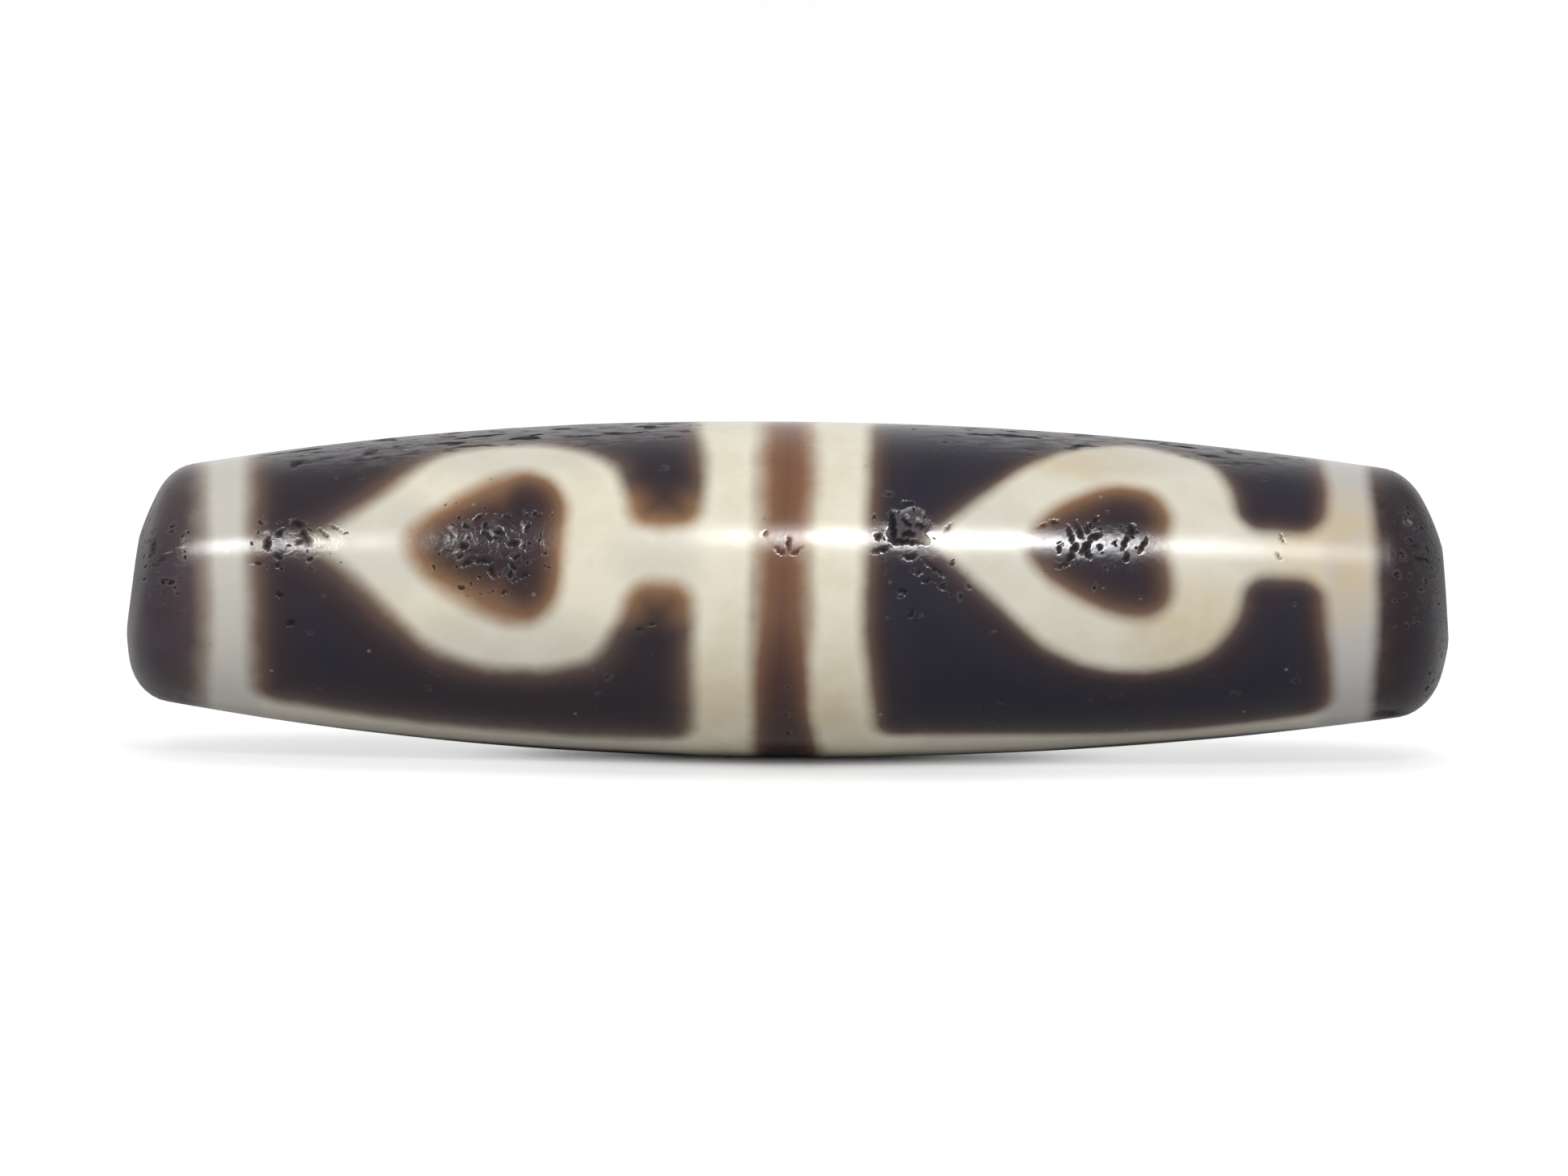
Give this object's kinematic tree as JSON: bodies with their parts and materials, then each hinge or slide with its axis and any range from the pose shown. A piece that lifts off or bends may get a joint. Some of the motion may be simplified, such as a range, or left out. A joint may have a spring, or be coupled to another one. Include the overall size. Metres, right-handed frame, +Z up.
{
  "type": "long barrel bead",
  "caption": "Long barrel-shaped agate bead, drilled lengthwise for a cord, with slightly leaning domed ends and a dyed pattern of cream leaves and hearts on near-black.",
  "frame": {"origin": "centre of the bead's bounding box, on the axis of the cord bore, midway between the ends", "axes": "+X along the bore towards the right end as pictured, +Y away from the viewer, +Z up; the side that is longest, where both leaning ends reach out furthest, is at -Z"},
  "size_m": [0.05, 0.0128, 0.0128],
  "materials": {
    "dyed_agate": "polished agate, dyed near-black with cream bands and figures, fine pits"
  },
  "bodies": {
    "root": {"agate_bead": "dyed_agate"}
  },
  "joints": []
}
